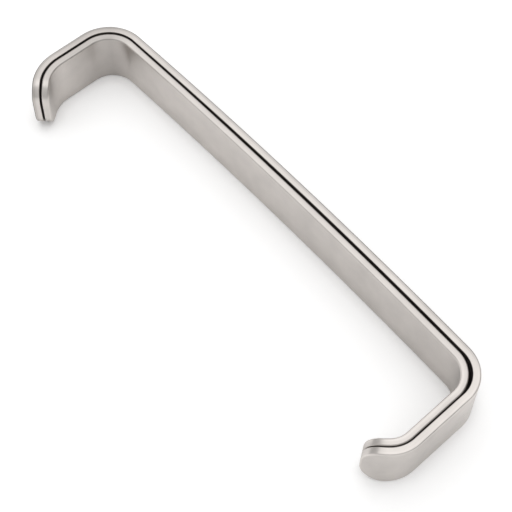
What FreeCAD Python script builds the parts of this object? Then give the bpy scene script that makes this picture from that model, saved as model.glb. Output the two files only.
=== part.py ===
import FreeCAD, Part
import math
import os
import Sketcher
from FreeCAD import Vector

# A set of two handheld surgical retractors, one nested inside the other.
# Each is one flat steel bar: a slightly bowed handle, a blade bent down at
# each end, and a lip curled inwards at the end of each blade. The bars stand
# on their long edges. X runs along the handle towards the deep blade, the
# blades point to -Y, and Z is the bar's width.

# Driving sizes, in millimetres and degrees. The face between the two bars,
# the inside of the outer bar, carries the bend sizes.
driving_sizes = {
    # the flat bar
    "bar_width": 16.0,
    "bar_thickness": 2.08,
    "edge_radius": 0.5,             # rounding of the long edges and of the tips' outlines
    "deburr_width": 0.2,            # the crisper edges of the outer bar, next to the gap
    # handle: the large radius that it bows out to, away from the blades
    "bow_radius": 1700.0,
    # shallow end
    "shallow_reach": 61.5,          # handle middle to the centre of the lip bend, along X
    "shallow_depth": 21.0,          # handle face to the centre of the lip bend
    "shallow_corner_radius": 9.3,
    "shallow_blade_angle": 90.7,    # from the X axis to the blade
    "shallow_lip_radius": 11.8,
    "shallow_lip_turn": 45.1,       # from the blade to the lip
    "shallow_lip_length": 4.3,      # straight end of the lip
    "shallow_tip_radius": 5.2,
    # deep end
    "deep_reach": 64.15,
    "deep_depth": 26.4,
    "deep_corner_radius": 8.2,
    "deep_blade_angle": 88.2,
    "deep_lip_radius": 8.5,
    "deep_lip_turn": 57.7,
    "deep_lip_length": 4.1,
    "deep_tip_radius": 6.4,
    # nesting: the running gaps between the bars, and how much larger the
    # inner bar's corners are than ones that would follow the outer bar
    "handle_gap": 0.62,
    "bow_flattening": 1.12,         # inner bow radius over outer bow radius
    "bow_shift": 3.0,               # of the inner bow's highest point, to the shallow end
    "shallow_blade_gap": 0.52,
    "shallow_corner_relief": 0.4,
    "deep_blade_gap": 0.32,
    "deep_corner_relief": 1.1,
}

# The face of each bar that looks at the other one, as formulas on the sizes.
# drop is how far the face lies below the outer bar's, at the handle's middle.
outer_face = {
    "drop": "0",
    "bow_radius": "Sizes.bow_radius",
    "bow_shift": "0",
    "shallow_corner_radius": "Sizes.shallow_corner_radius",
    "shallow_lip_radius": "Sizes.shallow_lip_radius",
    "deep_corner_radius": "Sizes.deep_corner_radius",
    "deep_lip_radius": "Sizes.deep_lip_radius",
}
inner_face = {
    "drop": "Sizes.handle_gap",
    "bow_radius": "Sizes.bow_radius * Sizes.bow_flattening",
    "bow_shift": "Sizes.bow_shift",
    "shallow_corner_radius": "Sizes.shallow_corner_radius - Sizes.shallow_blade_gap"
                             " + Sizes.shallow_corner_relief",
    "shallow_lip_radius": "Sizes.shallow_lip_radius - Sizes.shallow_blade_gap",
    "deep_corner_radius": "Sizes.deep_corner_radius - Sizes.deep_blade_gap"
                          " + Sizes.deep_corner_relief",
    "deep_lip_radius": "Sizes.deep_lip_radius - Sizes.deep_blade_gap",
}

# What both bars share at each end, as formulas on the sizes.
end_sizes = {
    end: {
        size: f"Sizes.{end}_{size}"
        for size in ("reach", "depth", "blade_angle", "lip_turn", "lip_length", "tip_radius")
    }
    for end in ("shallow", "deep")
}

largest_tip_share = 0.48      # of the bar's width, so that two tip corners never meet
largest_edge_share = 0.4      # of the bar's thickness, for the rounding of its long edges
sharp_edge_angle = 30.0       # degrees between two faces, above which their edge is sharp
near_share = 0.25             # of the bar's thickness, within which an edge lies on a line


def add_size_sheet(doc):
    sheet = doc.addObject("Spreadsheet::Sheet", "Sizes")
    for row, (name, value) in enumerate(driving_sizes.items(), start=1):
        sheet.set(f"A{row}", name)
        sheet.set(f"B{row}", str(value))
        sheet.setAlias(f"B{row}", name)
    doc.recompute()
    return sheet


def lay_out_end(sheet, face, end):
    """Bend centres and normals of one end, with X measured outwards from the handle's middle."""
    value = {size: sheet.evalExpression(formula) for size, formula in end_sizes[end].items()}
    bow_radius = sheet.evalExpression(face["bow_radius"])
    corner_radius = sheet.evalExpression(face[f"{end}_corner_radius"])
    lip_radius = sheet.evalExpression(face[f"{end}_lip_radius"])

    blade = math.radians(value["blade_angle"])
    lip = blade + math.radians(value["lip_turn"])
    blade_way = Vector(math.cos(blade), -math.sin(blade), 0)
    blade_normal = Vector(math.sin(blade), math.cos(blade), 0)
    lip_way = Vector(math.cos(lip), -math.sin(lip), 0)
    lip_normal = Vector(math.sin(lip), math.cos(lip), 0)

    bow_shift = sheet.evalExpression(face["bow_shift"])
    bow_centre = Vector(
        bow_shift if end == "shallow" else -bow_shift,
        -sheet.evalExpression(face["drop"]) - bow_radius, 0,
    )
    lip_centre = Vector(value["reach"], -value["depth"], 0)

    # The corner's centre lies on a line along the blade, one corner radius
    # inside its face, and as far from the bow's centre as a bend that runs
    # smoothly into the bow.
    below_corner = lip_centre + blade_normal * (lip_radius - corner_radius)
    from_bow = below_corner - bow_centre
    along = from_bow.dot(blade_way)
    up_the_blade = along + math.sqrt(
        along ** 2 - from_bow.dot(from_bow) + (bow_radius - corner_radius) ** 2
    )
    corner_centre = below_corner - blade_way * up_the_blade
    corner_normal = (corner_centre - bow_centre).normalize()

    return {
        "bow_centre": bow_centre,
        "bow_radius": bow_radius,
        "corner_centre": corner_centre,
        "corner_radius": corner_radius,
        "corner_normal": corner_normal,
        "blade_normal": blade_normal,
        "lip_centre": lip_centre,
        "lip_radius": lip_radius,
        "lip_normal": lip_normal,
        "lip_end": lip_way * value["lip_length"],
    }


def mirrored(vector):
    return Vector(-vector.x, vector.y, 0)


def bend(centre, radius, first_normal, last_normal):
    """An arc about centre, anticlockwise from one normal to the other."""
    circle = Part.Circle(centre, Vector(0, 0, 1), radius)
    first = math.atan2(first_normal.y, first_normal.x)
    last = math.atan2(last_normal.y, last_normal.x)
    if last < first:
        last += 2 * math.pi
    return Part.ArcOfCircle(circle, first, last)


def face_line(deep, shallow, offset):
    """One face of a bar from the deep tip to the shallow tip, offset outwards."""
    deep_bend_end = deep["lip_centre"] + deep["lip_normal"] * (deep["lip_radius"] + offset)
    deep_blade = [
        deep["lip_centre"] + deep["blade_normal"] * (deep["lip_radius"] + offset),
        deep["corner_centre"] + deep["blade_normal"] * (deep["corner_radius"] + offset),
    ]
    shallow_blade = [
        shallow["corner_centre"] + shallow["blade_normal"] * (shallow["corner_radius"] + offset),
        shallow["lip_centre"] + shallow["blade_normal"] * (shallow["lip_radius"] + offset),
    ]
    shallow_bend_end = (
        shallow["lip_centre"] + shallow["lip_normal"] * (shallow["lip_radius"] + offset)
    )
    return [
        Part.LineSegment(deep_bend_end + deep["lip_end"], deep_bend_end),
        bend(deep["lip_centre"], deep["lip_radius"] + offset,
             deep["lip_normal"], deep["blade_normal"]),
        Part.LineSegment(deep_blade[0], deep_blade[1]),
        bend(deep["corner_centre"], deep["corner_radius"] + offset,
             deep["blade_normal"], deep["corner_normal"]),
        bend(deep["bow_centre"], deep["bow_radius"] + offset,
             deep["corner_normal"], mirrored(shallow["corner_normal"])),
        bend(mirrored(shallow["corner_centre"]), shallow["corner_radius"] + offset,
             mirrored(shallow["corner_normal"]), mirrored(shallow["blade_normal"])),
        Part.LineSegment(mirrored(shallow_blade[0]), mirrored(shallow_blade[1])),
        bend(mirrored(shallow["lip_centre"]), shallow["lip_radius"] + offset,
             mirrored(shallow["blade_normal"]), mirrored(shallow["lip_normal"])),
        Part.LineSegment(mirrored(shallow_bend_end),
                         mirrored(shallow_bend_end + shallow["lip_end"])),
    ]


# Order of the stretches of a face in its sketch, from the deep tip to the shallow tip.
(deep_lip, deep_bend, deep_blade, deep_corner, bow,
 shallow_corner, shallow_blade, shallow_bend, shallow_lip) = range(9)
stretches = shallow_lip + 1
deep_tip = 2 * stretches                # the lines that close the two tips
shallow_tip = deep_tip + 1
starts, ends, centre = range(1, 4)      # the points of a stretch
origin = (-1, 1)


def bind_size(sketch, name, formula, kind, *where):
    """Add a dimension to a sketch and tie it to a formula on the sizes."""
    value = sketch.evalExpression(formula)
    if kind == "Angle":
        value = math.radians(value)
    index = sketch.addConstraint(Sketcher.Constraint(kind, *where, value))
    sketch.renameConstraint(index, name)
    sketch.setExpression(f"Constraints.{name}", formula)


def draw_profile(sketch, sheet, face, outwards):
    """The bar seen on its long edge: the nesting face, the free face and two tip lines."""
    deep = lay_out_end(sheet, face, "deep")
    shallow = lay_out_end(sheet, face, "shallow")
    thickness = sheet.evalExpression("Sizes.bar_thickness")
    nesting_face = face_line(deep, shallow, 0)
    free_face = face_line(deep, shallow, thickness if outwards else -thickness)
    sketch.addGeometry(nesting_face + free_face, False)
    sketch.addGeometry([
        Part.LineSegment(nesting_face[deep_lip].StartPoint, free_face[deep_lip].StartPoint),
        Part.LineSegment(nesting_face[shallow_lip].EndPoint, free_face[shallow_lip].EndPoint),
    ], False)

    relations = []
    for first in (0, stretches):
        for stretch in range(first, first + stretches - 1):
            relations.append(("Tangent", stretch, ends, stretch + 1, starts))
    for stretch in (deep_bend, deep_corner, bow, shallow_corner, shallow_bend):
        relations.append(("Coincident", stretch, centre, stretch + stretches, centre))
    for stretch in (deep_lip, deep_blade, shallow_blade, shallow_lip):
        relations.append(("Parallel", stretch, stretch + stretches))
    relations += [
        ("Coincident", deep_tip, starts, deep_lip, starts),
        ("Coincident", deep_tip, ends, deep_lip + stretches, starts),
        ("Coincident", shallow_tip, starts, shallow_lip, ends),
        ("Coincident", shallow_tip, ends, shallow_lip + stretches, ends),
        ("Perpendicular", deep_tip, deep_lip),
        ("Perpendicular", shallow_tip, shallow_lip),
    ]
    sketch.addConstraint([Sketcher.Constraint(*relation) for relation in relations])

    bind_size(sketch, "thickness", "Sizes.bar_thickness", "Distance", deep_tip)
    bind_size(sketch, "bow_radius", face["bow_radius"], "Radius", bow)
    bind_size(sketch, "bow_height", f"{face['drop']} + {face['bow_radius']}",
              "DistanceY", bow, centre, *origin)
    bind_size(sketch, "bow_middle", f"{end_sizes['deep']['reach']} + {face['bow_shift']}",
              "DistanceX", bow, centre, deep_bend, centre)

    bind_size(sketch, "deep_corner", face["deep_corner_radius"], "Radius", deep_corner)
    bind_size(sketch, "deep_bend", face["deep_lip_radius"], "Radius", deep_bend)
    bind_size(sketch, "deep_reach", end_sizes["deep"]["reach"],
              "DistanceX", *origin, deep_bend, centre)
    bind_size(sketch, "deep_depth", end_sizes["deep"]["depth"],
              "DistanceY", deep_bend, centre, *origin)
    bind_size(sketch, "deep_blade", f"180 - {end_sizes['deep']['blade_angle']}",
              "Angle", deep_blade)
    bind_size(sketch, "deep_lip_turn", end_sizes["deep"]["lip_turn"], "Angle", deep_bend)
    bind_size(sketch, "deep_lip", end_sizes["deep"]["lip_length"], "Distance", deep_lip)

    bind_size(sketch, "shallow_corner", face["shallow_corner_radius"], "Radius", shallow_corner)
    bind_size(sketch, "shallow_bend", face["shallow_lip_radius"], "Radius", shallow_bend)
    bind_size(sketch, "shallow_reach", end_sizes["shallow"]["reach"],
              "DistanceX", shallow_bend, centre, *origin)
    bind_size(sketch, "shallow_depth", end_sizes["shallow"]["depth"],
              "DistanceY", shallow_bend, centre, *origin)
    bind_size(sketch, "shallow_blade", f"{end_sizes['shallow']['blade_angle']} - 180",
              "Angle", shallow_blade)
    bind_size(sketch, "shallow_lip_turn", end_sizes["shallow"]["lip_turn"],
              "Angle", shallow_bend)
    bind_size(sketch, "shallow_lip", end_sizes["shallow"]["lip_length"],
              "Distance", shallow_lip)


def middle_of(edge):
    return edge.valueAt((edge.FirstParameter + edge.LastParameter) / 2)


def is_sharp(shape, edge):
    """Whether the two faces at an edge meet at a real angle."""
    normals = []
    for face in shape.ancestorsOfType(edge, Part.Face):
        normals.append(face.normalAt(*face.Surface.parameter(middle_of(edge))))
    return math.degrees(normals[0].getAngle(normals[1])) > sharp_edge_angle


def sharp_edges_over(shape, lines, reach):
    """The sharp edges whose middles lie over lines of the profile, at any height."""
    drawn = Part.Compound([line.toShape() for line in lines])
    found = []
    for number, edge in enumerate(shape.Edges, start=1):
        middle = middle_of(edge)
        plan_point = Part.Vertex(middle.x, middle.y, 0)
        if plan_point.distToShape(drawn)[0] < reach and is_sharp(shape, edge):
            found.append(f"Edge{number}")
    return found


def tip_edges(shape, tip_line, reach):
    """The two short edges of a tip, one at each long edge of the bar."""
    middle = (tip_line.StartPoint + tip_line.EndPoint) * 0.5
    found = []
    for number, edge in enumerate(shape.Edges, start=1):
        place = middle_of(edge)
        if math.hypot(place.x - middle.x, place.y - middle.y) < reach:
            found.append(f"Edge{number}")
    return found


def ease(body, kind, name, base, edges, size, formula):
    """A fillet or a chamfer on some edges of the feature before it."""
    eased = body.newObject(f"PartDesign::{kind}", name)
    eased.Base = (base, edges)
    eased.setExpression(size, formula)
    body.Document.recompute()
    return eased


def make_retractor(doc, sheet, name, label, face, outwards):
    """One flat bar, bent to shape, with rounded tips and eased edges."""
    body = doc.addObject("PartDesign::Body", name)
    body.Label = label
    sketch = body.newObject("Sketcher::SketchObject", f"{name}Profile")
    ground = next(plane for plane in body.Origin.OriginFeatures if plane.Role == "XY_Plane")
    sketch.AttachmentSupport = (ground, "")
    sketch.MapMode = "FlatFace"
    draw_profile(sketch, sheet, face, outwards)

    bar = body.newObject("PartDesign::Pad", f"{name}Bar")
    bar.Profile = sketch
    bar.setExpression("Length", "Sizes.bar_width")
    doc.recompute()

    reach = sheet.evalExpression("Sizes.bar_thickness") * near_share
    rounded = bar
    for end, tip in (("shallow", shallow_tip), ("deep", deep_tip)):
        rounded = ease(
            body, "Fillet", f"{name}{end.capitalize()}Tip", rounded,
            tip_edges(rounded.Shape, sketch.Geometry[tip], reach),
            "Radius", f"min({end_sizes[end]['tip_radius']}; Sizes.bar_width * {largest_tip_share})",
        )

    edge_radius = f"min(Sizes.edge_radius; Sizes.bar_thickness * {largest_edge_share})"
    free_lines = sketch.Geometry[stretches:deep_tip]
    nesting_lines = sketch.Geometry[:stretches]
    rounded = ease(
        body, "Fillet", f"{name}FreeEdges", rounded,
        sharp_edges_over(rounded.Shape, free_lines, reach), "Radius", edge_radius,
    )
    nesting_edges = sharp_edges_over(rounded.Shape, nesting_lines, reach)
    if outwards:
        ease(body, "Chamfer", f"{name}NestingEdges", rounded, nesting_edges,
             "Size", "min(Sizes.deburr_width; " + edge_radius + ")")
    else:
        ease(body, "Fillet", f"{name}NestingEdges", rounded, nesting_edges,
             "Radius", edge_radius)
    return body


def check_document(doc, bodies):
    for item in doc.Objects:
        if {"Invalid", "Error"} & set(item.State):
            raise RuntimeError(f"{item.Name} could not be built: {item.State}")
    for body in bodies:
        if body.Shape.isNull() or not body.Shape.isValid() or len(body.Shape.Solids) != 1:
            raise RuntimeError(f"{body.Label} is not one sound solid")


os.makedirs("parts", exist_ok=True)
doc = FreeCAD.newDocument("NestedRetractors")
sheet = add_size_sheet(doc)
outer = make_retractor(doc, sheet, "OuterRetractor", "outer_retractor", outer_face, True)
inner = make_retractor(doc, sheet, "InnerRetractor", "inner_retractor", inner_face, False)

# The origin of the pair is the middle of its footprint, on the surface that it stands on.
footprint = outer.Shape.optimalBoundingBox(False)
for retractor in (outer, inner):
    retractor.Placement = FreeCAD.Placement(
        Vector(-footprint.Center.x, -footprint.Center.y, 0), FreeCAD.Rotation()
    )
doc.recompute()
check_document(doc, (outer, inner))

for retractor in (outer, inner):
    retractor.Shape.exportStep(f"parts/{retractor.Label}.step")
    box = retractor.Shape.optimalBoundingBox(False)
    print(retractor.Label, "is", round(box.XLength, 2), "x", round(box.YLength, 2), "x",
          round(box.ZLength, 2), "mm,", round(retractor.Shape.Volume, 1), "cubic mm")
print("footprint middle in the sketches:", footprint.Center)
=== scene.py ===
import bmesh
import bpy
import math
import numpy
from mathutils import Matrix, Vector


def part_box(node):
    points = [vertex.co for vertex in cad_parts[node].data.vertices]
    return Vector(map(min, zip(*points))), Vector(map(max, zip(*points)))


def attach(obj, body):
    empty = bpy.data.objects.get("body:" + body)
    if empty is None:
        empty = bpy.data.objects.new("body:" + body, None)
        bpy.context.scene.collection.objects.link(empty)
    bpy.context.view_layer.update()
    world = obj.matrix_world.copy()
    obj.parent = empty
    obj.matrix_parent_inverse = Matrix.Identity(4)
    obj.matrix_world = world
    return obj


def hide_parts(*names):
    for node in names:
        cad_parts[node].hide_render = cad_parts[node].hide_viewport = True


# Two nested double-ended hand retractors. Each is one flat steel bar that is cut
# out and eased while flat, and then bent. Lengths are in metres, angles in degrees.

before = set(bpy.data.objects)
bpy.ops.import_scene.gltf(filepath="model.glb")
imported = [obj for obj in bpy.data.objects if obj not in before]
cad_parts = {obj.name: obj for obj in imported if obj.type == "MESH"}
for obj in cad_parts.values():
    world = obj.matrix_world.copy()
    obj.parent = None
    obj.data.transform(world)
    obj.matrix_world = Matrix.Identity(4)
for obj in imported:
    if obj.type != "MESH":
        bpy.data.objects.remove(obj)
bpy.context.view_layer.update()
mm = 0.001
endSides = {"deep": 1.0, "shallow": -1.0}      # which way along the handle each end lies


def addNode(tree, kind, inputs=None, **settings):
    # a node with its settings, and a value or a link for some of its inputs
    node = tree.nodes.new(kind)
    for name, value in settings.items():
        setattr(node, name, value)
    for key, value in (inputs or {}).items():
        if isinstance(value, bpy.types.NodeSocket):
            tree.links.new(value, node.inputs[key])
        else:
            node.inputs[key].default_value = value
    return node


def mathNode(tree, operation, first, second=0.0):
    return addNode(tree, "ShaderNodeMath", {0: first, 1: second}, operation=operation).outputs[0]


def vectorNode(tree, operation, first, second):
    inputs = {0: first, 1: second}
    return addNode(tree, "ShaderNodeVectorMath", inputs, operation=operation).outputs[0]


def joinXYZ(tree, x=0.0, y=0.0, z=0.0):
    return addNode(tree, "ShaderNodeCombineXYZ", {0: x, 1: y, 2: z}).outputs[0]


def rampNode(tree, value, stops):
    # a colour for each value, from (value, colour) stops
    node = addNode(tree, "ShaderNodeValToRGB", {"Fac": value})
    elements = node.color_ramp.elements
    for i, (position, colour) in enumerate(stops):
        stop = elements[i] if i < 2 else elements.new(position)
        stop.position = position
        stop.color = (*colour, 1.0)
    return node.outputs["Color"]


def emptyTree(owner):
    # the node tree of a material or world, with nothing in it yet
    owner.use_nodes = True
    owner.node_tree.nodes.clear()
    return owner.node_tree


def linkObject(name, data):
    thing = bpy.data.objects.new(name, data)
    bpy.context.scene.collection.objects.link(thing)
    return thing


def meshBox(piece):
    # lowest and highest corner
    corners = list(piece.bound_box)
    return [Vector([pick(corner[i] for corner in corners) for i in range(3)])
            for pick in (min, max)]


# the bent face between the two bars, and the outer bar that lies on it
outerBar = {
    "width": 16.0 * mm,
    "thickness": 2.08 * mm,
    "bowRadius": 1700.0 * mm,      # the handle's slight bow, away from the blades
    "bowShift": 0.0,               # how far the bow's highest point lies off the middle
    "drop": 0.0,                   # how far the face lies below the outer bar's
    "shallow": {
        "reach": 61.5 * mm,        # handle middle to the centre of the lip bend
        "depth": 21.0 * mm,
        "cornerRadius": 9.3 * mm,
        "bladeAngle": 90.7,        # from the handle's line
        "lipRadius": 11.8 * mm,
        "lipTurn": 45.1,
        "lipLength": 4.3 * mm,
        "tipRadius": 5.2 * mm,
    },
    "deep": {
        "reach": 64.15 * mm,
        "depth": 26.4 * mm,
        "cornerRadius": 8.2 * mm,
        "bladeAngle": 88.2,
        "lipRadius": 8.5 * mm,
        "lipTurn": 57.7,
        "lipLength": 4.1 * mm,
        "tipRadius": 6.4 * mm,
    },
    "nestingEase": 0.2 * mm,       # easing of the edges next to the gap
    "freeEase": 0.5 * mm,
    "outwards": 1,                 # 1 where the thickness lies outside the face, -1 inside
    # painted light and shade as brightness of the colour, with the polish that also makes dull
    # places rougher, at the shallow tip and corner, at the handle's two ends,
    # and at the deep corner and tip: painted shade along the free edges, in the gap and at the
    # shallow corner, painted highlights along the deep free edges and beside the gap, and a
    # lighter deep corner; the bands are the long narrow sides
    "polishAndPaintedLight": {
        "band": (0.97, 0.80, 1.08, 1.02, 1.06, 1.04),
        "freeFace": (1.0, 1.0, 1.0, 1.0, 1.32, 0.95),
        "freeEdge": (0.45, 0.35, 0.50, 0.50, 1.20, 1.15),
        # painted shade in the gap between the bars
        "nestingFace": (0.8, 0.8, 0.8, 0.8, 0.8, 0.8),
        "nestingEdge": (1.15, 1.0, 1.12, 1.12, 1.08, 1.06),
    },
}

# how the inner bar differs from the outer one
nesting = {
    "handleGap": 0.62 * mm,
    "bladeGap": {"shallow": 0.52 * mm, "deep": 0.32 * mm},
    "cornerRelief": {"shallow": 0.4 * mm, "deep": 1.1 * mm},     # added to the corner's radius
    "bowFlattening": 1.12,         # inner bow's radius over the outer one's
    "bowShift": -3.0 * mm,
    "ease": 0.5 * mm,              # of the edges next to the gap
    # the inner bar's painted light and shade: a darker shallow hook, painted highlights along the
    # deep free edge, darker edges beside the gap
    "polishAndPaintedLight": {
        "freeFace": (1.14, 0.73, 1.05, 0.92, 0.84, 0.94),
        "freeEdge": (1.0, 0.60, 0.95, 0.95, 1.30, 1.25),
        "nestingEdge": (1.10, 0.80, 0.84, 0.82, 0.90, 0.90),
    },
}


def nestedBar(bar, gaps):
    # the inner bar's sizes: the outer bar's, less the gaps that run between them
    inner = dict(
        bar, outwards=-1, drop=gaps["handleGap"], nestingEase=gaps["ease"],
        bowRadius=bar["bowRadius"] * gaps["bowFlattening"], bowShift=gaps["bowShift"],
        polishAndPaintedLight=dict(bar["polishAndPaintedLight"], **gaps["polishAndPaintedLight"]),
    )
    for end in endSides:
        gap = gaps["bladeGap"][end]
        inner[end] = dict(
            bar[end], lipRadius=bar[end]["lipRadius"] - gap,
            cornerRadius=bar[end]["cornerRadius"] - gap + gaps["cornerRelief"][end],
        )
    return inner


def layOutEnd(bar, end):
    # bend lengths and angles from the bow's highest point to one tip, along the nesting face
    size = bar[end]
    bladeAngle = math.radians(size["bladeAngle"])
    bladeWay = Vector((math.cos(bladeAngle), -math.sin(bladeAngle)))
    bladeNormal = Vector((math.sin(bladeAngle), math.cos(bladeAngle)))
    bowCentre = Vector((0, -bar["drop"] - bar["bowRadius"]))
    lipCentre = Vector((size["reach"] - endSides[end] * bar["bowShift"], -size["depth"]))

    # the corner's centre is one corner radius inside the blade's face, and as far
    # from the bow's centre as a bend that runs smoothly into the handle
    belowCorner = lipCentre + bladeNormal * (size["lipRadius"] - size["cornerRadius"])
    fromBow = belowCorner - bowCentre
    along = fromBow.dot(bladeWay)
    bladeLength = along + math.sqrt(
        along ** 2 - fromBow.dot(fromBow) + (bar["bowRadius"] - size["cornerRadius"]) ** 2
    )
    cornerCentre = belowCorner - bladeWay * bladeLength
    toCorner = cornerCentre - bowCentre
    bowTurn = math.atan2(toCorner.x, toCorner.y)
    return {
        "Bow Turn": bowTurn,
        "Corner Radius": size["cornerRadius"],
        "Corner Turn": bladeAngle - bowTurn,
        "Blade Length": bladeLength,
        "Lip Radius": size["lipRadius"],
        "Lip Turn": math.radians(size["lipTurn"]),
        "Lip Length": size["lipLength"],
    }


def flatLength(bar, layout):
    # from the bow's highest point to the tip, with the bends laid flat
    return (
        bar["bowRadius"] * layout["Bow Turn"]
        + layout["Corner Radius"] * layout["Corner Turn"] + layout["Blade Length"]
        + layout["Lip Radius"] * layout["Lip Turn"] + layout["Lip Length"]
    )


# the flat blank: a bar with rounded tips and eased edges
blank = {
    "step": 0.4 * mm,              # spacing of the stations along the bar
    "tipSteps": 20,                # in each quarter circle of a tip
    "easeSteps": 6,                # in each eased edge
    "support": 0.12 * mm,          # flat strip kept beside each eased edge
    "edgeLightShare": 0.45,                 # share of the edges' painted light and shade carried onto the sides of the bands
}


def halfOutline(bar, reach, inset):
    # the upper half of the blank's outline as (x, height), from the deep tip to the shallow one
    quarter = [i * math.pi / 2 / blank["tipSteps"] for i in range(blank["tipSteps"] + 1)]
    centre = {end: side * (reach[end] - bar[end]["tipRadius"]) for end, side in endSides.items()}

    def tip(end, angles):
        tipRadius = bar[end]["tipRadius"]
        radius = tipRadius - inset
        return [(centre[end] + endSides[end] * radius * math.cos(angle),
                 bar["width"] / 2 - tipRadius + radius * math.sin(angle)) for angle in angles]

    span = centre["shallow"] - centre["deep"]
    count = round(-span / blank["step"])
    straight = [(centre["deep"] + span * i / count, bar["width"] / 2 - inset)
                for i in range(1, count)]
    return tip("deep", quarter) + straight + tip("shallow", quarter[::-1])


def edgeLevels(bar):
    # (inset, depth, edge's share, face's share) of each outline loop, from the nesting
    # face to the free one; depth is measured from the nesting face, and the shares weigh the
    # edge's and the face's painted light and shade
    thickness, support = bar["thickness"], blank["support"]
    levels = []
    for ease, face, way in ((bar["nestingEase"], 0.0, 1), (bar["freeEase"], thickness, -1)):
        side = [(ease + support, face, 0.0, 1.0)]
        for i in range(blank["easeSteps"] + 1):
            turn = math.pi / 2 * i / blank["easeSteps"]
            depth = face + way * ease * (1 - math.cos(turn))
            side.append((ease * (1 - math.sin(turn)), depth, math.sin(2 * turn), math.cos(turn)))
        side.append((0.0, face + way * (ease + support), blank["edgeLightShare"], 0.0))
        levels += side + [(0.0, thickness / 2, 0.0, 0.0)] if way > 0 else side[::-1]
    return levels


def paintedLightMarks(bar, layouts, reach):
    # where the flat bar has each value of its painted light and shade, with its polish
    handle = {end: bar["bowRadius"] * layout["Bow Turn"] for end, layout in layouts.items()}
    corner = {end: handle[end] + layout["Corner Radius"] * layout["Corner Turn"] / 2
              for end, layout in layouts.items()}
    return (-reach["shallow"], -corner["shallow"], -handle["shallow"],
            handle["deep"], corner["deep"], reach["deep"])


def paintedLightAt(bar, marks, x, depth, edge, face):
    # how much painted light or shade, with its polish, one place of the flat bar has
    side = "nesting" if depth < bar["thickness"] / 2 else "free"
    level, ofEdge, ofFace = (numpy.interp(x, marks, bar["polishAndPaintedLight"][part])
                             for part in ("band", side + "Edge", side + "Face"))
    level += (ofFace - level) * face
    return level + (ofEdge - level) * edge


def makeBlank(name, bar, layouts):
    reach = {end: flatLength(bar, layout) for end, layout in layouts.items()}
    marks = paintedLightMarks(bar, layouts, reach)
    width, thickness = bar["width"], bar["thickness"]
    around = 2 * (width + thickness)
    mesh = bmesh.new()
    polishAndPaintedLight = mesh.verts.layers.float.new("polishAndPaintedLight")
    unrolled = mesh.loops.layers.uv.new("UVMap")
    distances = {}                 # each vertex's, along and around the bar

    loops = []
    for inset, depth, edge, face in edgeLevels(bar):
        upper = halfOutline(bar, reach, inset)
        loop = []
        for side, points in ((1, upper), (-1, upper[::-1])):
            for x, height in points:
                vertex = mesh.verts.new((x, bar["outwards"] * depth, width / 2 + side * height))
                # each vertex carries its painted light and shade, with its polish
                vertex[polishAndPaintedLight] = paintedLightAt(bar, marks, x, depth, edge, face)
                fromMiddle = height if depth < thickness / 2 else width - height
                distances[vertex] = (x, side * (fromMiddle + depth))
                loop.append(vertex)
        loops.append(loop)

    def addFace(corners, fromSeam=False):
        # the free face's map starts at the seam, so the map is two turns high
        face = mesh.faces.new(corners)
        for corner in face.loops:
            x, distance = distances[corner.vert]
            if fromSeam and distance < 0:
                distance += around
            corner[unrolled].uv = (
                (x + reach["shallow"]) / (reach["shallow"] + reach["deep"]),
                (distance + around / 2) / (2 * around),
            )

    for lower, upper in zip(loops, loops[1:]):
        for i in range(len(lower)):
            j = (i + 1) % len(lower)
            addFace((lower[i], lower[j], upper[j], upper[i]))
    half = len(loops[0]) // 2
    for loop, fromSeam in ((loops[0], False), (loops[-1], True)):
        for i in range(half - 1):
            addFace((loop[i], loop[i + 1], loop[-2 - i], loop[-1 - i]), fromSeam)
    bmesh.ops.recalc_face_normals(mesh, faces=mesh.faces)

    data = bpy.data.meshes.new(name)
    mesh.to_mesh(data)
    mesh.free()
    data.shade_smooth()
    return linkObject(name, data)


def addSockets(tree, names, kind="NodeSocketFloat"):
    for name in names:
        tree.interface.new_socket(name, in_out="INPUT", socket_type=kind)


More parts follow.
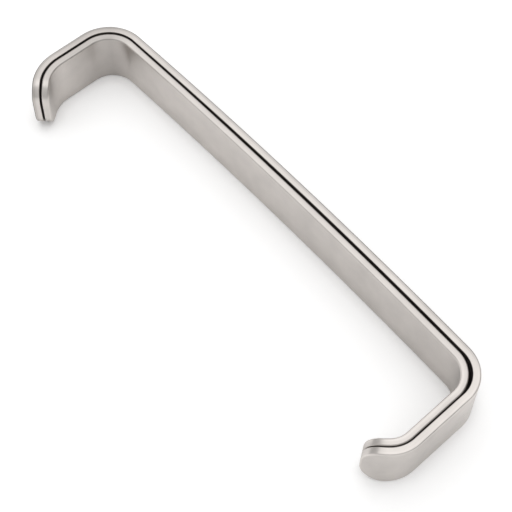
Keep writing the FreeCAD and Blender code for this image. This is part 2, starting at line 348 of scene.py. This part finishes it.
def makeBendGroup():
    # everything past Start is rolled round a centre on the inner side, and the rest
    # of the bar follows straight on; Side is 1 towards the deep tip and -1 the other way
    tree = bpy.data.node_groups.new("Bend", "GeometryNodeTree")
    addSockets(tree, ["Geometry"], "NodeSocketGeometry")
    addSockets(tree, ["Side", "Start", "Radius", "Turn"])
    tree.interface.new_socket("Geometry", in_out="OUTPUT", socket_type="NodeSocketGeometry")
    given = addNode(tree, "NodeGroupInput").outputs
    start, radius = given["Start"], given["Radius"]

    flatX = addNode(tree, "GeometryNodeInputNamedAttribute", {"Name": "flatX"}).outputs[0]
    past = mathNode(tree, "SUBTRACT", mathNode(tree, "MULTIPLY", flatX, given["Side"]), start)
    arc = mathNode(tree, "MULTIPLY", radius, given["Turn"])
    used = mathNode(tree, "MINIMUM", mathNode(tree, "MAXIMUM", past, 0.0), arc)
    turn = mathNode(tree, "DIVIDE", used, radius)

    mirror = joinXYZ(tree, given["Side"], 1.0, 1.0)
    position = addNode(tree, "GeometryNodeInputPosition").outputs[0]
    straight = vectorNode(tree, "MULTIPLY", position, mirror)
    fromRoller = vectorNode(tree, "SUBTRACT", straight,
                            joinXYZ(tree, mathNode(tree, "ADD", start, used)))
    turned = addNode(
        tree, "ShaderNodeVectorRotate",
        {"Vector": fromRoller, "Angle": mathNode(tree, "MULTIPLY", turn, -1.0)},
        rotation_type="Z_AXIS",
    ).outputs[0]
    rollX = mathNode(tree, "ADD", start,
                     mathNode(tree, "MULTIPLY", radius, mathNode(tree, "SINE", turn)))
    # the fall is cos(turn) - 1, from the half angle, as the bow's turns are very small
    halfSine = mathNode(tree, "SINE", mathNode(tree, "MULTIPLY", turn, 0.5))
    fall = mathNode(tree, "MULTIPLY", mathNode(tree, "MULTIPLY", halfSine, halfSine), -2.0)
    rollY = mathNode(tree, "MULTIPLY", radius, fall)
    rolled = vectorNode(tree, "ADD", turned, joinXYZ(tree, rollX, rollY))
    bent = addNode(tree, "GeometryNodeSetPosition", {
        "Geometry": given["Geometry"],
        "Selection": mathNode(tree, "GREATER_THAN", past, 0.0),
        "Position": vectorNode(tree, "MULTIPLY", rolled, mirror),
    })
    addNode(tree, "NodeGroupOutput", {"Geometry": bent.outputs[0]})
    return tree


endSizes = ["Bow Turn", "Corner Radius", "Corner Turn", "Blade Length", "Lip Radius", "Lip Turn"]


def endInput(end, size):
    # what the tree calls one end's size, such as Deep Lip Turn
    return f"{end.title()} {size}"


def makeBarTree(bendGroup):
    # six bends: lips first, then the corners, and the handle's bow last
    tree = bpy.data.node_groups.new("BentBar", "GeometryNodeTree")
    addSockets(tree, ["Geometry"], "NodeSocketGeometry")
    addSockets(tree, ["Bow Radius"])
    addSockets(tree, [endInput(end, size) for end in endSides for size in endSizes])
    addSockets(tree, ["Place"], "NodeSocketVector")
    addSockets(tree, ["Finish"], "NodeSocketMaterial")
    tree.interface.new_socket("Geometry", in_out="OUTPUT", socket_type="NodeSocketGeometry")
    given = addNode(tree, "NodeGroupInput").outputs

    position = addNode(tree, "GeometryNodeInputPosition").outputs[0]
    flatX = addNode(tree, "ShaderNodeSeparateXYZ", {0: position}).outputs["X"]
    shape = addNode(tree, "GeometryNodeStoreNamedAttribute",
                    {"Geometry": given["Geometry"], "Name": "flatX", "Value": flatX},
                    domain="POINT", data_type="FLOAT").outputs[0]

    bends = {"Lip": [], "Corner": [], "Bow": []}
    for end, side in endSides.items():
        size = {name: given[endInput(end, name)] for name in endSizes}
        cornerStart = mathNode(tree, "MULTIPLY", given["Bow Radius"], size["Bow Turn"])
        cornerArc = mathNode(tree, "MULTIPLY", size["Corner Radius"], size["Corner Turn"])
        lipStart = mathNode(tree, "ADD", mathNode(tree, "ADD", cornerStart, cornerArc),
                            size["Blade Length"])
        bends["Lip"].append((side, lipStart, size["Lip Radius"], size["Lip Turn"]))
        bends["Corner"].append((side, cornerStart, size["Corner Radius"], size["Corner Turn"]))
        bends["Bow"].append((side, 0.0, given["Bow Radius"], size["Bow Turn"]))
    for side, start, radius, turn in bends["Lip"] + bends["Corner"] + bends["Bow"]:
        inputs = {"Geometry": shape, "Side": side, "Start": start, "Radius": radius, "Turn": turn}
        shape = addNode(tree, "GeometryNodeGroup", inputs, node_tree=bendGroup).outputs[0]

    placed = addNode(tree, "GeometryNodeSetPosition",
                     {"Geometry": shape, "Offset": given["Place"]}).outputs[0]
    tidied = addNode(tree, "GeometryNodeRemoveAttribute",
                     {"Geometry": placed, "Name": "flatX"}).outputs[0]
    real = addNode(tree, "GeometryNodeRealizeInstances", {"Geometry": tidied}).outputs[0]
    finished = addNode(tree, "GeometryNodeSetMaterial",
                       {"Geometry": real, "Material": given["Finish"]}).outputs[0]
    addNode(tree, "NodeGroupOutput", {"Geometry": finished})
    return tree


def bendBar(name, bar, tree, place, finish):
    layouts = {end: layOutEnd(bar, end) for end in endSides}
    flat = makeBlank(name + "Blank", bar, layouts)

    # the bar is bent with its bow's highest point at the origin, so it drops into its place
    values = {"Bow Radius": bar["bowRadius"], "Finish": finish,
              "Place": place + Vector((bar["bowShift"], -bar["drop"], 0))}
    for end, layout in layouts.items():
        values.update({endInput(end, size): layout[size] for size in endSizes})
    modifier = flat.modifiers.new("Bending", "NODES")
    modifier.node_group = tree
    for socket in tree.interface.items_tree:
        if socket.in_out == "INPUT" and socket.name in values:
            modifier[socket.identifier] = values[socket.name]

    depsgraph = bpy.context.evaluated_depsgraph_get()
    data = bpy.data.meshes.new_from_object(flat.evaluated_get(depsgraph))
    data.name = name
    bpy.data.objects.remove(flat)
    return linkObject(name, data)


satinSteel = {
    "colour": (0.66, 0.6225, 0.592),
    "edgeTint": (0.74, 0.74, 0.74, 1.0),           # seen at a low angle
    "grainAcross": 9000.0,         # fine lines across the bar, per metre
    "grainAlong": 160.0,
    "grainNoise": {"Detail": 3.0, "Roughness": 0.6},
    "grainShade": 0.10,            # how much the lines darken the colour
    "grainHeight": 0.004 * mm,
    "grainBump": 0.5,              # how much of that height shows
    "mottleNoise": {"Scale": 140.0, "Detail": 4.0, "Roughness": 0.55},      # soft patches
    "mottleTones": ((0.30, 0.93), (0.70, 1.05)),   # (noise, brightness)
    "roughness": 0.34,
    "roughnessSpread": 0.10,       # of the lines and of the patches
    "dullRoughness": 0.2,          # added as the polish falls from 1 to 0
}


def makeSteel(name, barLength, around):
    look = satinSteel
    material = bpy.data.materials.new(name)
    tree = emptyTree(material)

    # the finishing lines follow the bar round its bends, on its own unrolled map
    unrolled = addNode(tree, "ShaderNodeUVMap", uv_map="UVMap").outputs[0]
    scale = (barLength * look["grainAlong"], 2 * around * look["grainAcross"], 1.0)
    lines = addNode(tree, "ShaderNodeMapping", {"Vector": unrolled, "Scale": scale}).outputs[0]
    grain = addNode(tree, "ShaderNodeTexNoise",
                    {"Vector": lines, "Scale": 1.0, **look["grainNoise"]}).outputs[0]
    local = addNode(tree, "ShaderNodeTexCoord").outputs["Object"]
    mottle = addNode(tree, "ShaderNodeTexNoise",
                     {"Vector": local, **look["mottleNoise"]}).outputs[0]
    polishAndPaintedLight = addNode(tree, "ShaderNodeAttribute", attribute_name="polishAndPaintedLight").outputs["Fac"]

    colour = Vector(look["colour"])
    tones = [(noise, colour * tone) for noise, tone in look["mottleTones"]]
    mottled = rampNode(tree, mottle, tones)
    streaked = addNode(
        tree, "ShaderNodeMix", {"Factor": look["grainShade"], "A": mottled, "B": grain},
        data_type="RGBA", blend_type="MULTIPLY",
    ).outputs["Result"]
    # the colour is brightened or darkened by the bar's painted light and shade
    finished = vectorNode(tree, "MULTIPLY", streaked, joinXYZ(tree, polishAndPaintedLight, polishAndPaintedLight, polishAndPaintedLight))

    # both noises lie around 0.5, so each makes the steel rougher here and smoother there
    spread = look["roughnessSpread"]
    lineChange = mathNode(tree, "MULTIPLY", mathNode(tree, "SUBTRACT", grain, 0.5), spread)
    patchChange = mathNode(tree, "MULTIPLY", mathNode(tree, "SUBTRACT", mottle, 0.5), spread)
    rough = mathNode(tree, "ADD", mathNode(tree, "ADD", lineChange, patchChange),
                     look["roughness"])
    duller = mathNode(tree, "MULTIPLY", mathNode(tree, "SUBTRACT", 1.0, polishAndPaintedLight),
                      look["dullRoughness"])
    bump = addNode(tree, "ShaderNodeBump", {
        "Height": grain, "Strength": look["grainBump"], "Distance": look["grainHeight"],
    }).outputs[0]
    shader = addNode(tree, "ShaderNodeBsdfPrincipled", {
        "Base Color": finished, "Metallic": 1.0, "Roughness": mathNode(tree, "ADD", rough, duller),
        "Normal": bump, "Specular Tint": look["edgeTint"],
    }).outputs[0]
    addNode(tree, "ShaderNodeOutputMaterial", {"Surface": shader})
    return material


innerBar = nestedBar(outerBar, nesting)
barLength = sum(flatLength(outerBar, layOutEnd(outerBar, end)) for end in endSides)
steel = makeSteel("satinSteel", barLength, 2 * (outerBar["width"] + outerBar["thickness"]))
barTree = makeBarTree(makeBendGroup())
print("steel and bending tree made, flat bar", round(barLength / mm, 1), "mm long")

# a trial of the outer bar shows how far both bars move to stand where their nodes do
low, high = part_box("outer_retractor")
trial = bendBar("trial", outerBar, barTree, Vector(), steel)
trialLow, trialHigh = meshBox(trial)
bpy.data.objects.remove(trial)
place = (low + high - trialLow - trialHigh) / 2
place.z = 0.0
print("place of the bars' middle, mm:", [round(value / mm, 3) for value in place])

for name, bar, node in (("outerBar", outerBar, "outer_retractor"),
                        ("innerBar", innerBar, "inner_retractor")):
    piece = bendBar(name, bar, barTree, place, steel)
    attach(piece, "root")
    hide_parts(node)
    past = [(own - cad) / mm for own, cad in zip(meshBox(piece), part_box(node))]
    print(name, len(piece.data.polygons), "faces; box less the node's, mm:",
          [[round(value, 3) for value in corner] for corner in past])

stage = {
    "floorSize": 4.0,
    "floorColour": (0.96, 0.96, 0.96, 1.0),
    "floorGlow": 0.22,             # only seen by the camera and in the steel
    "glowShade": 3.5 * mm,         # within which the bars keep it off the floor
    "shadeSamples": 12,
    # (height, strength) of the room's light, from the horizon up to the ceiling
    "roomFront": ((0.0, 0.60), (0.30, 0.70), (0.85, 0.80), (1.0, 0.92)),
    "roomBehind": ((0.0, 0.22), (0.50, 0.22), (0.76, 0.40), (0.90, 0.58), (1.0, 0.92)),
    "behind": (-0.6, 0.9),         # y of the directions between which front turns to behind
}


def seenOrReflected(tree):
    # 1 for what the camera sees directly, through glass or in a reflection
    path = addNode(tree, "ShaderNodeLightPath").outputs
    seen = mathNode(tree, "MAXIMUM", path["Is Camera Ray"], path["Is Glossy Ray"])
    return mathNode(tree, "MAXIMUM", seen, path["Is Transmission Ray"])


def makeFloor():
    half = stage["floorSize"] / 2
    corners = [(-half, -half, 0), (half, -half, 0), (half, half, 0), (-half, half, 0)]
    mesh = bpy.data.meshes.new("floor")
    mesh.from_pydata(corners, [], [(0, 1, 2, 3)])
    paper = bpy.data.materials.new("paleFloor")
    tree = emptyTree(paper)
    matt = addNode(tree, "ShaderNodeBsdfDiffuse", {"Color": stage["floorColour"]}).outputs[0]
    openness = addNode(tree, "ShaderNodeAmbientOcclusion", {"Distance": stage["glowShade"]},
                       samples=stage["shadeSamples"]).outputs["AO"]
    openGlow = mathNode(tree, "MULTIPLY", openness, stage["floorGlow"])
    strength = mathNode(tree, "MULTIPLY", seenOrReflected(tree), openGlow)
    glow = addNode(tree, "ShaderNodeEmission", {"Strength": strength}).outputs[0]
    both = addNode(tree, "ShaderNodeAddShader", {0: matt, 1: glow}).outputs[0]
    addNode(tree, "ShaderNodeOutputMaterial", {"Surface": both})
    mesh.materials.append(paper)
    return linkObject("floor", mesh)


def makeRoom():
    # grey light from all round, which changes with the height and from front to back
    world = bpy.data.worlds.new("studio")
    tree = emptyTree(world)
    generated = addNode(tree, "ShaderNodeTexCoord").outputs["Generated"]
    direction = addNode(tree, "ShaderNodeSeparateXYZ", {0: generated}).outputs
    front, behind = (
        rampNode(tree, direction["Z"], [(height, [level] * 3) for height, level in stage[side]])
        for side in ("roomFront", "roomBehind")
    )
    frontEnd, allBehind = stage["behind"]
    share = addNode(tree, "ShaderNodeMapRange", {
        "Value": direction["Y"], "From Min": frontEnd, "From Max": allBehind,
    }).outputs["Result"]
    room = addNode(tree, "ShaderNodeMixRGB",
                   {"Fac": share, "Color1": front, "Color2": behind}).outputs["Color"]
    sky = addNode(tree, "ShaderNodeBackground", {"Color": room}).outputs[0]
    addNode(tree, "ShaderNodeOutputWorld", {"Surface": sky})
    return world


floor = makeFloor()
bpy.context.scene.world = makeRoom()

lamps = {
    "skySoftbox": {"place": (-0.3, 0.5, 1.15), "size": 2.5, "watts": 12.0},
}
for name, lamp in lamps.items():
    light = bpy.data.lights.new(name, "AREA")
    light.shape = "SQUARE"
    light.size = lamp["size"]
    light.energy = lamp["watts"]
    holder = linkObject(name, light)
    holder.location = lamp["place"]
    holder.rotation_euler = (-holder.location).to_track_quat("-Z", "Y").to_euler()
print("floor, room and lamps set:", ", ".join(lamps))

view = {
    "azimuth": 48.03,              # of the camera, from -Y towards +X
    "elevation": 58.61,
    "roll": 1.10,
    "distance": 355.7 * mm,
    "target": (7.668 * mm, -0.651 * mm, 8.0 * mm),
    "lens": 96.64,                 # in millimetres, as the sensor's width
    "sensor": 36.0,
    "nearest": 10 * mm,            # the camera shows nothing closer
}


def makeCamera():
    azimuth, elevation, roll = (math.radians(view[key])
                                for key in ("azimuth", "elevation", "roll"))
    back = Vector((math.sin(azimuth) * math.cos(elevation),
                   -math.cos(azimuth) * math.cos(elevation), math.sin(elevation)))
    levelRight = (-back).cross(Vector((0, 0, 1))).normalized()
    levelUp = levelRight.cross(-back)
    right = levelRight * math.cos(roll) + levelUp * math.sin(roll)
    up = levelUp * math.cos(roll) - levelRight * math.sin(roll)
    lens = bpy.data.cameras.new("camera")
    lens.lens = view["lens"]
    lens.sensor_width = view["sensor"]
    lens.clip_start = view["nearest"]
    camera = linkObject("camera", lens)
    turned = Matrix((right, up, back)).transposed().to_4x4()
    moved = Matrix.Translation(Vector(view["target"]) + back * view["distance"])
    camera.matrix_world = moved @ turned
    return camera


bpy.context.scene.camera = makeCamera()
bpy.context.scene.view_settings.view_transform = "Standard"
print("camera set")
